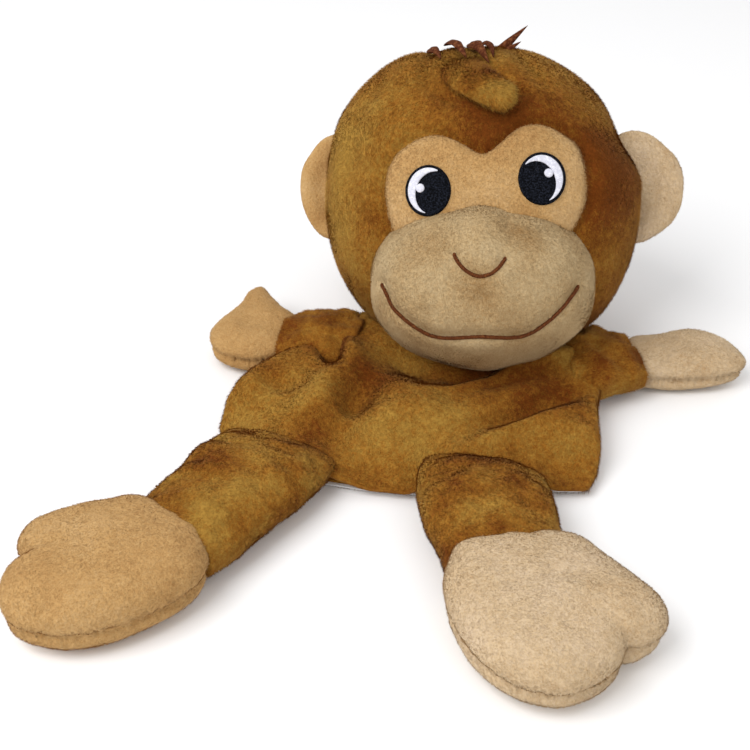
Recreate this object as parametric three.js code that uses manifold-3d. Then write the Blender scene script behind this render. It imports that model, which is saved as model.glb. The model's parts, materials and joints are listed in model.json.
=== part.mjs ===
// A plush monkey hand puppet, lying on its back with its head propped up.
// Millimetres, +Z up, the table is z = 0, the feet point to -Y and the origin
// is on the table under the middle of the body. The puppet's own left and right
// are named from the viewer's side: "left" is -X.
import * as THREE from 'three';
import { mergeVertices } from 'three/addons/utils/BufferGeometryUtils.js';
import Module from 'manifold-3d';

const wasm = await Module();
wasm.setup();

// ---- driving dimensions ----
const gap = 0.3; // between sewn pieces that touch
const liningGap = 0.5; // the lining hangs a little loose in the body
const swingGap = 0.5; // between pieces that turn against each other
const plushWall = 3; // fabric with its pile
const liningWall = 1;

const headWidth = 152;
const headDepth = 120;
const headHeight = 150;
const headPlace = { x: 6, y: 86, lift: 0.4 }; // lift: under the lowest point of the head
const headTurn = 7.4; // degrees, towards the viewer's left
const headLean = 32.5; // degrees, leaned back from upright
const headRoll = 3.8; // degrees, crown towards the viewer's left
const faceSeamDepth = 8; // the seam between crown and back, behind the ears' front
const neckHole = 15.5; // radius of the opening under the head

const muzzle = { width: 104, depth: 96, height: 74, y: -32, z: -41.5 };
const eye = { width: 21.5, height: 23, apart: 49, z: -0.3, raise: 0.8 };
const eyeTilt = 6.5; // degrees, the eye line against the mouth
const mask = { lobe: 25.5, notch: 0.62, cheek: 38 }; // notch: share of the lobes' crossing left open
const thread = { nose: 2.2, mouth: 2.6, raise: 1 };
const nose = { radius: 11, z: -34 };
const mouth = { halfWidth: 42, z: -43.5, drop: 21 };
const ear = { height: 54, reach: 46, thick: 15, z: 5, y: 4, flopBack: 25, flopFront: 15 };
const forelock = { width: 26, length: 40, thick: 9, z: 52 };
const fringe = {
  strands: 6, width: 5, thick: 1.6, length: 17, spread: 46, base: 4, root: 1, lean: 55, fan: 0.6,
};

const fingerTube = { bore: 10, wall: 2, length: 56, base: 14 };
const neckInHead = 68; // from the head's centre down to the neck joint
const nodForward = 8; // degrees the chin can still drop
const nodBack = 45; // degrees the head can lie further back
const turnEach = 22; // degrees the head turns either way

const bodyTurn = 6; // degrees, the body lies turned on the table
const hem = { half: 80, y: -40, bow: 13 };
const bodyHalf = 76;
// Where the side seams turn in to the arms: the lobe under the arm, the armpit
// and the place where the shoulder seam meets the neck.
const shoulder = {
  top: 52,
  rise: 2, // from the lobe under the arm up to the armpit
  left: { lobe: 14, round: 16, armpit: 53, neckEnd: 45 },
  right: { lobe: 16, round: 13, armpit: 62, neckEnd: 52 },
};
const bodyThick = 26;
const bodyEdge = 7; // roundness of the side seams
const innerEdge = 1.5; // least roundness of a hollow's edges
const seamHeight = 11; // where front and back panels meet at the side

const sleeve = { width: 31, thick: 20 };
const hand = { width: 36, thick: 17, cuff: 24 };
const thumb = { length: 17, width: 18 };
const leg = { width: 44, thick: 26 };
const foot = { length: 64, width: 58, thick: 30, neck: 23, cuff: 36 };
const bigToe = { along: 36, side: 24, length: 32, width: 26 };
const limbEdge = 4; // roundness of the sleeves' and legs' side seams
const palmEdge = 3.5;
const endSetback = 5; // how far a sleeve or leg stops short of the joint at its end

// Where each limb is joined (x, y), the way its joint faces, the way it and its
// end piece point, in degrees from +X, and how long it lies from joint to joint.
// The right leg lies bunched up at the hem and the left hand lies curled, so
// they reach less far than their twins.
const arms = [
  {
    name: 'left', x: -51, y: 33, facing: 184, angle: 184, endAngle: 190, length: 29, outer: -1,
    handReach: 36, thumbAlong: 13, thumbOut: 15,
  },
  {
    name: 'right', x: 65, y: 40, facing: 27, angle: 33, endAngle: 16, length: 26, outer: 1,
    handReach: 50, thumbAlong: 28, thumbOut: 7,
  },
];
const legs = [
  { name: 'left', x: -55, y: -67, facing: 263, angle: 252, endAngle: 240, length: 56, outer: -1 },
  { name: 'right', x: 34, y: -66, facing: 284, angle: 298, endAngle: 300, length: 39, outer: 1 },
];

const fine = 24; // facets around the head
const coarse = 16; // facets around the small forms

// ---- colours ----
const colours = {
  brown: [0.3, 0.13, 0.035],
  tan: [0.58, 0.36, 0.17],
  cream: [0.66, 0.46, 0.26],
  lining: [0.85, 0.85, 0.84],
  fill: [0.92, 0.92, 0.9],
  black: [0.01, 0.012, 0.016],
  thread: [0.16, 0.055, 0.018],
  felt: [0.1, 0.035, 0.012],
};

function makeMaterial(colour, roughness = 0.9) {
  const material = new THREE.MeshStandardMaterial({ roughness, metalness: 0 });
  material.color.setRGB(...colours[colour]);
  return material;
}

// ---- solids ----
const radians = THREE.MathUtils.degToRad;

function toSolid(geometry) {
  const bare = geometry.clone();
  bare.deleteAttribute('normal');
  bare.deleteAttribute('uv');
  const merged = mergeVertices(bare, 1e-4);
  return new wasm.Manifold(new wasm.Mesh({
    numProp: 3,
    vertProperties: merged.attributes.position.array,
    triVerts: new Uint32Array(merged.index.array),
  }));
}

function toGeometry(solid) {
  const mesh = solid.getMesh();
  const geometry = new THREE.BufferGeometry();
  geometry.setAttribute('position', new THREE.BufferAttribute(mesh.vertProperties, 3));
  geometry.setIndex(new THREE.BufferAttribute(mesh.triVerts, 1));
  geometry.computeVertexNormals();
  return geometry;
}

function placed(geometry, { x = 0, y = 0, z = 0, turn = 0 } = {}) {
  geometry.rotateZ(radians(turn));
  geometry.translate(x, y, z);
  return geometry;
}

function ellipsoid(width, depth, height, around = fine) {
  const ball = new THREE.SphereGeometry(0.5, around, Math.round(around * 0.5));
  ball.rotateX(Math.PI / 2);
  ball.scale(width, depth, height);
  return ball;
}

function cylinderAlongY(radius, length, around = coarse) {
  return new THREE.CylinderGeometry(radius, radius, length, around);
}

// A box from one x to another, centred across y, from one z to another.
function boxFrom(fromX, toX, width, fromZ, toZ) {
  const box = new THREE.BoxGeometry(toX - fromX, width, toZ - fromZ);
  box.translate((fromX + toX) / 2, 0, (fromZ + toZ) / 2);
  return box;
}

// An outline whose curves meet in one point, not in two that nearly touch.
function cleanOutline(shape, curvePoints) {
  const points = shape.getPoints(curvePoints);
  const apart = points.filter((p, i) => p.distanceTo(points.at(i - 1)) > 0.01);
  return new THREE.Shape(apart);
}

// A flat body with rounded edges, standing on z = 0.
function slab(shape, depth, edge) {
  const flat = new THREE.ExtrudeGeometry(cleanOutline(shape, 6), {
    depth: depth - 2 * edge,
    bevelThickness: edge,
    bevelSize: edge,
    bevelOffset: -edge,
    bevelSegments: 2,
  });
  flat.translate(0, 0, edge);
  return flat;
}

function prismAlongY(shape, from, to) {
  const prism = new THREE.ExtrudeGeometry(cleanOutline(shape, 10), {
    depth: to - from,
    bevelEnabled: false,
  });
  prism.rotateX(Math.PI / 2);
  prism.translate(0, to, 0);
  return prism;
}

const model = new THREE.Group();

function addPiece(parent, name, solid, colour, roughness) {
  const mesh = new THREE.Mesh(toGeometry(solid), makeMaterial(colour, roughness));
  mesh.name = name;
  parent.add(mesh);
  return mesh;
}

// ---- head ----
// The head's own frame: x to the viewer's right, face towards -y, crown up.
const headGroup = new THREE.Group();
const headFrame = new THREE.Matrix4();

function placeHead() {
  headGroup.rotation.set(radians(-headLean), radians(-headRoll), radians(headTurn), 'ZXY');
  const turn = new THREE.Matrix4().makeRotationFromEuler(headGroup.rotation);
  const row = turn.elements;
  const reach = Math.hypot(row[2] * headWidth, row[6] * headDepth, row[10] * headHeight) / 2;
  headGroup.position.set(headPlace.x, headPlace.y, reach + headPlace.lift);
  headFrame.compose(
    headGroup.position,
    new THREE.Quaternion().setFromEuler(headGroup.rotation),
    new THREE.Vector3(1, 1, 1),
  );
}

function headForm(grow) {
  return toSolid(ellipsoid(headWidth + 2 * grow, headDepth + 2 * grow, headHeight + 2 * grow));
}

function muzzleForm(grow) {
  const form = ellipsoid(muzzle.width + 2 * grow, muzzle.depth + 2 * grow, muzzle.height + 2 * grow);
  return toSolid(placed(form, { y: muzzle.y, z: muzzle.z }));
}

function neckBore(radius) {
  const bore = new THREE.CylinderGeometry(radius, radius, headHeight, coarse);
  bore.rotateX(Math.PI / 2);
  bore.translate(0, 0, -headHeight / 2 - neckInHead + fingerTube.length + fingerTube.wall + gap);
  return toSolid(bore);
}

function openingUnderHead() {
  const opening = new THREE.CylinderGeometry(neckHole, neckHole, headHeight, coarse);
  opening.rotateX(Math.PI / 2);
  opening.translate(0, 0, -headHeight / 2 - neckInHead + fingerTube.base + swingGap);
  return toSolid(opening);
}

function maskOutline(grow) {
  const lobe = mask.lobe + grow;
  const half = eye.apart / 2;
  const meet = Math.acos(Math.min(1, (half - grow) / lobe) * 0.999);
  const low = muzzle.z - eye.z;
  const outline = new THREE.Shape();
  outline.absarc(half, 0, lobe, -Math.PI / 4, Math.PI - meet * mask.notch, false);
  outline.absarc(-half, 0, lobe, meet * mask.notch, Math.PI * 1.25, false);
  outline.lineTo(-mask.cheek, low);
  outline.lineTo(mask.cheek, low);
  outline.closePath();
  return outline;
}

function maskPrism(grow) {
  const prism = prismAlongY(maskOutline(grow), -headDepth, 0);
  prism.rotateY(-radians(eyeTilt));
  prism.translate(0, 0, eye.z);
  return toSolid(prism);
}

function behindSeam(grow) {
  const box = new THREE.BoxGeometry(2 * headWidth, headDepth, 2 * headHeight);
  box.translate(0, faceSeamDepth + headDepth / 2 + grow, 0);
  return toSolid(box);
}

function buildHeadCover() {
  const shell = headForm(0).subtract(headForm(-plushWall)).subtract(openingUnderHead());
  addPiece(headGroup, 'head_back', shell.intersect(behindSeam(gap / 2)), 'brown');
  const crown = shell.subtract(behindSeam(-gap / 2));
  addPiece(
    headGroup,
    'head_crown',
    crown.subtract(maskPrism(gap)).subtract(muzzleForm(gap)),
    'brown',
  );
  addPiece(
    headGroup,
    'face_mask',
    crown.intersect(maskPrism(0)).subtract(muzzleForm(gap)),
    'tan',
  );
}

function buildMuzzle() {
  const inHead = headForm(-plushWall);
  const cover = muzzleForm(0).subtract(muzzleForm(-plushWall)).subtract(inHead);
  addPiece(headGroup, 'muzzle', cover.subtract(openingUnderHead()), 'cream');
  const filling = muzzleForm(-plushWall - gap).subtract(inHead).subtract(openingUnderHead());
  addPiece(headGroup, 'muzzle_stuffing', filling, 'fill');
}

function buildHeadStuffing() {
  const filling = headForm(-plushWall - gap).subtract(neckBore(fingerTube.bore + fingerTube.wall + gap));
  addPiece(headGroup, 'head_stuffing', filling.subtract(openingUnderHead()), 'fill');
}

function eyePrism(sign) {
  const outline = new THREE.Shape();
  outline.absellipse(0, 0, eye.width / 2, eye.height / 2, 0, 2 * Math.PI, false, 0);
  const prism = prismAlongY(outline, -headDepth, 0);
  prism.translate(sign * eye.apart / 2, 0, 0);
  prism.rotateY(-radians(eyeTilt));
  prism.translate(0, 0, eye.z);
  return toSolid(prism);
}

function buildEyes() {
  const skin = headForm(gap + eye.raise).subtract(headForm(gap));
  for (const [name, sign] of [['eye_left', -1], ['eye_right', 1]]) {
    const disc = skin.intersect(eyePrism(sign)).subtract(muzzleForm(gap));
    addPiece(headGroup, name, disc, 'black', 0.6);
  }
}

function arcBand(centreZ, radius, halfAngle, width) {
  const band = new THREE.Shape();
  const down = -Math.PI / 2;
  band.absarc(0, centreZ, radius + width / 2, down - halfAngle, down + halfAngle, false);
  band.absarc(0, centreZ, radius - width / 2, down + halfAngle, down - halfAngle, true);
  band.closePath();
  return band;
}

function buildStitching() {
  const skin = muzzleForm(gap + thread.raise).subtract(muzzleForm(gap));
  const noseBand = prismAlongY(arcBand(nose.z, nose.radius, 1.15, thread.nose), -headDepth, muzzle.y);
  addPiece(headGroup, 'nose_stitching', skin.intersect(toSolid(noseBand)), 'thread', 0.6);
  const smile = (mouth.halfWidth ** 2 + mouth.drop ** 2) / (2 * mouth.drop);
  const halfAngle = Math.asin(mouth.halfWidth / smile);
  const centreZ = mouth.z - mouth.drop + smile;
  const mouthBand = prismAlongY(arcBand(centreZ, smile, halfAngle, thread.mouth), -headDepth, muzzle.y);
  addPiece(headGroup, 'mouth_stitching', skin.intersect(toSolid(mouthBand)), 'thread', 0.6);
}

function buildForelock() {
  const lock = ellipsoid(forelock.width, 2 * forelock.thick, forelock.length, coarse);
  const slope = Math.acos(forelock.z / (headHeight / 2));
  lock.rotateX(slope - Math.PI / 2);
  lock.translate(0, -headDepth / 2 * Math.sin(slope), forelock.z);
  addPiece(headGroup, 'forelock', toSolid(lock).subtract(headForm(gap)), 'brown');
}

function buildFringe() {
  const crownTop = headHeight / 2;
  const bar = new THREE.BoxGeometry(fringe.spread + fringe.width, fringe.base, fringe.base);
  let tuft = toSolid(placed(bar, { y: fringe.base, z: crownTop }));
  for (let i = 0; i < fringe.strands; i += 1) {
    const share = i / (fringe.strands - 1) - 0.5;
    const strand = new THREE.BoxGeometry(fringe.width, fringe.thick, fringe.length);
    strand.translate(0, 0, fringe.length / 2 - fringe.root);
    strand.rotateX(radians(fringe.lean));
    strand.rotateY(share * fringe.fan);
    strand.translate(share * fringe.spread, fringe.base, crownTop - Math.abs(share) * fringe.base);
    tuft = tuft.add(toSolid(strand));
  }
  addPiece(headGroup, 'felt_fringe', tuft.subtract(headForm(gap)), 'felt');
}

function buildEar(name, sign) {
  const rim = sign * headWidth / 2 * Math.sqrt(1 - (2 * ear.z / headHeight) ** 2);
  const form = ellipsoid(ear.reach, ear.thick, ear.height, coarse);
  let solid = toSolid(placed(form, { x: rim, y: ear.y, z: ear.z }));
  for (const flop of [-ear.flopFront, 0, ear.flopBack]) {
    const head = ellipsoid(headWidth + 2 * gap, headDepth + 2 * gap, headHeight + 2 * gap);
    head.translate(-rim, -ear.y, 0);
    head.rotateZ(-sign * radians(flop));
    head.translate(rim, ear.y, 0);
    solid = solid.subtract(toSolid(head));
  }
  addPiece(headGroup, name, solid, 'tan');
}

// ---- neck: the tube the finger goes into, turning on the body ----
function buildFingerTube() {
  const { bore, wall, length, base } = fingerTube;
  const ball = Math.sqrt(base ** 2 - (bore + wall) ** 2);
  const outline = [new THREE.Vector2(bore, -Math.sqrt(base ** 2 - bore ** 2))];
  const steps = 8;
  const first = Math.acos(bore / base);
  const last = Math.asin(ball / base);
  for (let i = 1; i <= steps; i += 1) {
    const angle = -first + (first + last) * i / steps;
    outline.push(new THREE.Vector2(base * Math.cos(angle), base * Math.sin(angle)));
  }
  outline.push(
    new THREE.Vector2(bore + wall, length - wall),
    new THREE.Vector2(bore - wall, length + wall - gap),
    new THREE.Vector2(0, length + wall - gap),
    new THREE.Vector2(0, length - gap),
    new THREE.Vector2(bore - wall, length - gap),
    new THREE.Vector2(bore, length - 2 * wall),
    new THREE.Vector2(bore, -Math.sqrt(base ** 2 - bore ** 2)),
  );
  const tube = new THREE.LatheGeometry(outline, coarse);
  tube.rotateX(Math.PI / 2);
  tube.translate(0, 0, -neckInHead);
  addPiece(headGroup, 'finger_tube', toSolid(tube), 'lining');
}

// ---- body: front and back panels, each with a lining ----
const bodyGroup = new THREE.Group();

function neckPoint() {
  return new THREE.Vector3(0, 0, -neckInHead).applyMatrix4(headFrame);
}

function bodyOutline(inset, pastHem) {
  const neck = neckPoint().applyAxisAngle(new THREE.Vector3(0, 0, 1), -radians(bodyTurn));
  const half = bodyHalf - inset;
  const outline = new THREE.Shape();
  outline.moveTo(-hem.half + inset, hem.y);
  outline.lineTo(-hem.half + inset, hem.y - pastHem);
  outline.quadraticCurveTo(0, hem.y - pastHem - 2 * hem.bow, hem.half - inset, hem.y - pastHem);
  outline.lineTo(hem.half - inset, hem.y);
  const { left, right, top } = shoulder;
  const lobe = ({ lobe: y }) => y - inset;
  const corner = ({ round }) => round - inset / 2;
  outline.lineTo(half, lobe(right) - corner(right));
  outline.quadraticCurveTo(half, lobe(right), half - corner(right), lobe(right));
  outline.lineTo(right.armpit - inset, lobe(right) + shoulder.rise);
  outline.lineTo(right.neckEnd - inset, top - inset);
  outline.lineTo(neck.x, top - inset);
  outline.lineTo(-left.neckEnd + inset, top - inset);
  outline.lineTo(-left.armpit + inset, lobe(left) + shoulder.rise);
  outline.lineTo(-half + corner(left), lobe(left));
  outline.quadraticCurveTo(-half, lobe(left), -half, lobe(left) - corner(left));
  outline.closePath();
  return outline;
}

function bodyForm(inset, pastHem = 0) {
  const edge = Math.max(bodyEdge - inset, innerEdge);
  const form = slab(bodyOutline(inset, pastHem), bodyThick - 2 * inset, edge);
  return toSolid(placed(form, { z: inset, turn: bodyTurn }));
}

// Everything above a height: a block wider and taller than the body.
function aboveSeam(z) {
  const block = new THREE.BoxGeometry(8 * bodyHalf, 8 * bodyHalf, 8 * bodyThick);
  block.translate(0, 0, z + 4 * bodyThick);
  return toSolid(block);
}

// The room the head needs as it nods and turns, which the body leaves free.
function headSweep() {
  const neck = neckPoint();
  const toNeck = new THREE.Matrix4().makeTranslation(neck.x, neck.y, neck.z);
  const fromNeck = toNeck.clone().invert();
  const across = new THREE.Vector3(1, 0, 0).transformDirection(headFrame);
  const nodAxis = new THREE.Vector3(across.x, across.y, 0).normalize();
  const skull = headForm(2 * swingGap);
  const head = skull.add(muzzleForm(2 * swingGap));
  const room = [];
  for (const nod of [-nodBack, -nodBack * 2 / 3, -nodBack / 3, 0, nodForward]) {
    for (const turn of [-turnEach, 0, turnEach]) {
      const move = toNeck.clone()
        .multiply(new THREE.Matrix4().makeRotationAxis(nodAxis, radians(nod)))
        .multiply(fromNeck)
        .multiply(headFrame)
        .multiply(new THREE.Matrix4().makeRotationZ(radians(turn)));
      room.push(head.transform(move.elements));
    }
  }
  return room.reduce((sum, pose) => sum.add(pose));
}

function socketsInBody() {
  const neck = neckPoint();
  const socket = new THREE.SphereGeometry(fingerTube.base + swingGap, coarse, 12);
  let sockets = toSolid(placed(socket, { x: neck.x, y: neck.y, z: neck.z }));
  const radius = sleeve.thick / 2 + swingGap;
  const width = sleeve.width + 2 * swingGap;
  for (const arm of arms) {
    const place = { x: arm.x, y: arm.y, z: sleeve.thick / 2 + gap, turn: arm.facing };
    const root = cylinderAlongY(radius, width);
    const above = boxFrom(-radius, 3 * radius, width, 0, bodyThick);
    const below = boxFrom(-radius / 2, 3 * radius, width, -bodyThick, 0);
    for (const cut of [root, above, below]) sockets = sockets.add(toSolid(placed(cut, place)));
  }
  return sockets;
}

function buildBody() {
  const cut = headSweep().add(socketsInBody());
  const upper = aboveSeam(seamHeight + gap / 2);
  const lower = aboveSeam(seamHeight - gap / 2);
  const inside = plushWall + liningGap;
  const room = inside + liningWall;
  const past = 4 * room;
  const shell = bodyForm(0).subtract(bodyForm(plushWall, past)).subtract(cut);
  const lining = bodyForm(inside).subtract(bodyForm(room, past)).subtract(cut);
  addPiece(bodyGroup, 'body_front', shell.intersect(upper), 'brown');
  addPiece(bodyGroup, 'body_back', shell.subtract(lower), 'brown');
  addPiece(bodyGroup, 'lining_front', lining.intersect(upper), 'lining');
  addPiece(bodyGroup, 'lining_back', lining.subtract(lower), 'lining');
}

// ---- limbs: each turns about a round root that lies across it ----
// In a limb's own frame the root is at the origin and its joint faces +x.
const armMiddle = sleeve.thick / 2 + gap;
const legMiddle = foot.thick / 2 + gap;

function limbGroup(x, y, z, angle) {
  const group = new THREE.Group();
  group.position.set(x, y, z);
  group.rotation.z = radians(angle);
  model.add(group);
  return group;
}

function endPlace(limb) {
  const lean = radians(limb.angle - limb.facing);
  return {
    x: limb.length * Math.cos(lean),
    y: limb.length * Math.sin(lean),
    turn: limb.endAngle - limb.facing,
  };
}

function endPoint(limb) {
  return {
    x: limb.x + limb.length * Math.cos(radians(limb.angle)),
    y: limb.y + limb.length * Math.sin(radians(limb.angle)),
  };
}

// The round-ended bar a sleeve or leg is made from, leaning the way the limb lies.
function limbBar(limb, size, inset, openRoot) {
  const radius = size.thick / 2 - inset;
  const across = size.width - 2 * inset;
  const reach = limb.length + size.width;
  const profile = new THREE.Shape();
  profile.moveTo(reach, -radius);
  profile.lineTo(reach, radius);
  profile.lineTo(openRoot ? -reach : 0, radius);
  if (openRoot) profile.lineTo(-reach, -radius);
  else profile.absarc(0, 0, radius, Math.PI / 2, Math.PI * 1.5, false);
  profile.closePath();
  const bar = slab(profile, across, Math.max(limbEdge - inset / 2, limbEdge / 2));
  bar.rotateX(Math.PI / 2);
  bar.translate(0, across / 2, 0);
  const lean = Math.tan(radians(limb.angle - limb.facing));
  bar.applyMatrix4(new THREE.Matrix4().set(1, 0, 0, 0, lean, 1, 0, 0, 0, 0, 1, 0, 0, 0, 0, 1));
  return toSolid(bar);
}

function pastEnd(limb, setback, width) {
  return toSolid(placed(boxFrom(-setback, 4 * width, 4 * width, -width, width), endPlace(limb)));
}

function endSocket(limb, radius, width) {
  return toSolid(placed(cylinderAlongY(radius, width), endPlace(limb)));
}

function buildArm(arm) {
  const group = limbGroup(arm.x, arm.y, armMiddle, arm.facing);
  const tube = limbBar(arm, sleeve, 0, false)
    .subtract(limbBar(arm, sleeve, plushWall, true))
    .subtract(pastEnd(arm, endSetback, sleeve.width))
    .subtract(endSocket(arm, hand.thick / 2 + swingGap, hand.cuff + 2 * swingGap));
  addPiece(group, `arm_${arm.name}`, tube, 'brown');
}

function handForm(arm, inset) {
  const half = hand.width / 2 - inset;
  const cuff = hand.cuff / 2 - inset;
  const middle = arm.handReach - hand.width / 2;
  const outline = new THREE.Shape();
  outline.moveTo(0, -cuff);
  outline.quadraticCurveTo(middle / 3, -half, middle, -half);
  outline.absarc(middle, 0, half, -Math.PI / 2, Math.PI / 2, false);
  outline.quadraticCurveTo(middle / 3, half, 0, cuff);
  outline.closePath();
  const thick = hand.thick - 2 * inset;
  const palm = slab(outline, thick, Math.max(palmEdge - inset, innerEdge));
  palm.translate(0, 0, -thick / 2);
  const point = ellipsoid(thumb.width - 2 * inset, 2 * thumb.length - 2 * inset, thick - 2, coarse);
  return toSolid(palm).add(toSolid(placed(point, { x: arm.thumbAlong, y: arm.thumbOut })));
}

function buildHand(arm) {
  const wrist = endPoint(arm);
  const group = limbGroup(wrist.x, wrist.y, armMiddle, arm.endAngle);
  const root = toSolid(cylinderAlongY(hand.thick / 2, hand.cuff));
  const room = hand.thick / 2 - plushWall;
  const wayIn = boxFrom(-hand.thick, hand.width / 2, hand.cuff - 2 * plushWall, -room, room);
  let mitt = handForm(arm, 0).add(root)
    .subtract(handForm(arm, plushWall))
    .subtract(toSolid(wayIn));
  if (arm.outer < 0) mitt = mitt.mirror([0, 1, 0]);
  addPiece(group, `hand_${arm.name}`, mitt, 'tan');
}

function buildLeg(limb) {
  const group = limbGroup(limb.x, limb.y, legMiddle, limb.facing);
  const socket = foot.neck / 2 + swingGap;
  const across = foot.cuff + 2 * swingGap;
  const cover = limbBar(limb, leg, 0, false)
    .subtract(limbBar(limb, leg, plushWall, false))
    .subtract(pastEnd(limb, endSetback, leg.width))
    .subtract(endSocket(limb, socket, across));
  addPiece(group, `leg_${limb.name}`, cover, 'brown');
  const filling = limbBar(limb, leg, plushWall + gap, false)
    .subtract(pastEnd(limb, endSetback, leg.width))
    .subtract(endSocket(limb, socket, across));
  addPiece(group, `leg_${limb.name}_stuffing`, filling, 'fill');
}

function footForm(inset) {
  const bulge = 1.25; // the pad is cut flat above and below, so its rim is blunt
  const pad = ellipsoid(
    foot.length - 2 * inset,
    foot.width - 2 * inset,
    bulge * foot.thick - 2 * inset,
  );
  const toe = ellipsoid(bigToe.length - 2 * inset, bigToe.width - 2 * inset, foot.thick, coarse);
  const toePlace = { x: bigToe.along, y: bigToe.side, turn: 45 };
  const half = foot.thick / 2 - inset;
  const level = boxFrom(foot.neck / 2 + inset, 2 * foot.length, 4 * foot.width, -half, half);
  return toSolid(placed(pad, { x: foot.length / 2 }))
    .add(toSolid(placed(toe, toePlace)))
    .intersect(toSolid(level));
}

function footNeck(inset) {
  const radius = foot.neck / 2 - inset;
  const across = foot.cuff - 2 * inset;
  const reach = foot.neck / 2 + 2 * plushWall;
  return toSolid(cylinderAlongY(radius, across))
    .add(toSolid(boxFrom(0, reach, across, -radius, radius)));
}

function buildFoot(limb) {
  const ankle = endPoint(limb);
  const group = limbGroup(ankle.x, ankle.y, legMiddle, limb.endAngle);
  const opening = boxFrom(
    -foot.neck,
    foot.neck / 2 + 2 * plushWall,
    foot.cuff - 2 * plushWall,
    -foot.neck / 2 + plushWall,
    foot.neck / 2 - plushWall,
  );
  let cover = footForm(0).add(footNeck(0)).subtract(footForm(plushWall)).subtract(toSolid(opening));
  let filling = footForm(plushWall + gap).add(footNeck(plushWall + gap));
  if (limb.outer < 0) {
    cover = cover.mirror([0, 1, 0]);
    filling = filling.mirror([0, 1, 0]);
  }
  addPiece(group, `foot_${limb.name}`, cover, 'tan');
  addPiece(group, `foot_${limb.name}_stuffing`, filling, 'fill');
}

placeHead();
buildHeadCover();
buildMuzzle();
buildHeadStuffing();
buildEyes();
buildStitching();
buildForelock();
buildFringe();
buildEar('ear_left', -1);
buildEar('ear_right', 1);
buildFingerTube();
buildBody();
arms.forEach(buildArm);
arms.forEach(buildHand);
legs.forEach(buildLeg);
legs.forEach(buildFoot);
model.add(headGroup, bodyGroup);

export default model;
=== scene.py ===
import json
import math
import bpy
import numpy as np
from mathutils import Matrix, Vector, noise
from mathutils.bvhtree import BVHTree
from mathutils.kdtree import KDTree

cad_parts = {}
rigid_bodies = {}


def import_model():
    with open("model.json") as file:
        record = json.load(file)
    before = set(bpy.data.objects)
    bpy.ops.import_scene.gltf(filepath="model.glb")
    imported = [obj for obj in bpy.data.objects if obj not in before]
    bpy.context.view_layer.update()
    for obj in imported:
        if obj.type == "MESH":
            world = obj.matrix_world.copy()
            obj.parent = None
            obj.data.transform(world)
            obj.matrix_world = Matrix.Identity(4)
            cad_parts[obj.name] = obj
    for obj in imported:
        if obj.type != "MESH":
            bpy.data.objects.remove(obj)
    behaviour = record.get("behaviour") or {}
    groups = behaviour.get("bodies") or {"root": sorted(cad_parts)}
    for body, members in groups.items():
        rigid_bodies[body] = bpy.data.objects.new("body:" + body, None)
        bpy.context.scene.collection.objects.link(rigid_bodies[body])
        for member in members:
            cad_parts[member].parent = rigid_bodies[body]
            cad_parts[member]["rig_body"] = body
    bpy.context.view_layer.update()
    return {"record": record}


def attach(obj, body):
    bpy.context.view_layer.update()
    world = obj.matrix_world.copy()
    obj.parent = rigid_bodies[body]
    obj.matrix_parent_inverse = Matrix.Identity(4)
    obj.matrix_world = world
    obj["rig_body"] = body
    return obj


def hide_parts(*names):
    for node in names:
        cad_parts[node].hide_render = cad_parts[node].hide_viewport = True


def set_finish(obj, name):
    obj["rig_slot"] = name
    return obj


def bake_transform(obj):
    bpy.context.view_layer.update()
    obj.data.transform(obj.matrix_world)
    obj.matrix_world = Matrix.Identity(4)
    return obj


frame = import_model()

mm = 0.001
joints = {j["name"]: j for j in frame["record"]["behaviour"]["joints"]}


def jointAt(name):
    return np.array(joints[name]["pos_m"])


# The camera looks at the target from these angles in degrees.
view = {"azimuth": 15, "elevation": 35, "distance": 0.6, "lens": 59.9, "target": (-0.033, 0.029, 0)}
light = {
    "keyLight": {"at": (-0.5, -0.7, 1.1), "size": 0.9, "power": 13.0},
    "fillLight": {"at": (0.9, -0.5, 0.8), "size": 1.2, "power": 1.8},
    "aim": (0, 0, 0.05), "world": 0.78, "floor": (0.93, 0.93, 0.935), "floorSize": 6, "floorRough": 0.9,
}


def setTheStage():
    azimuth = math.radians(view["azimuth"])
    elevation = math.radians(view["elevation"])
    away = Vector((
        math.sin(azimuth) * math.cos(elevation),
        -math.cos(azimuth) * math.cos(elevation),
        math.sin(elevation),
    ))
    target = Vector(view["target"])
    camera = bpy.data.objects.new("camera", bpy.data.cameras.new("camera"))
    bpy.context.scene.collection.objects.link(camera)
    camera.location = target + away * view["distance"]
    camera.rotation_euler = away.to_track_quat("Z", "Y").to_euler()
    camera.data.lens = view["lens"]
    camera.data.sensor_width = 36
    bpy.context.scene.camera = camera
    for name in ("keyLight", "fillLight"):
        lamp = bpy.data.objects.new(name, bpy.data.lights.new(name, "AREA"))
        bpy.context.scene.collection.objects.link(lamp)
        lamp.location = light[name]["at"]
        aim = Vector(light[name]["at"]) - Vector(light["aim"])
        lamp.rotation_euler = aim.to_track_quat("Z", "Y").to_euler()
        lamp.data.size = light[name]["size"]
        lamp.data.energy = light[name]["power"]
    world = bpy.data.worlds.new("studio")
    world.use_nodes = True
    background = world.node_tree.nodes["Background"]
    background.inputs["Color"].default_value = (1, 1, 1, 1)
    background.inputs["Strength"].default_value = light["world"]
    bpy.context.scene.world = world
    bpy.context.scene.view_settings.view_transform = "Standard"
    clearSelection()
    bpy.ops.mesh.primitive_plane_add(size=light["floorSize"])
    floor = bpy.context.object
    floor.name = "floor"
    paint = bpy.data.materials.new("paleFloor")
    paint.use_nodes = True
    shader = paint.node_tree.nodes["Principled BSDF"]
    shader.inputs["Base Color"].default_value = (*light["floor"], 1)
    shader.inputs["Roughness"].default_value = light["floorRough"]
    floor.data.materials.append(paint)


def clearSelection():
    if bpy.context.object and bpy.context.object.mode != "OBJECT":
        bpy.ops.object.mode_set(mode="OBJECT")
    bpy.ops.object.select_all(action="DESELECT")


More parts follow.
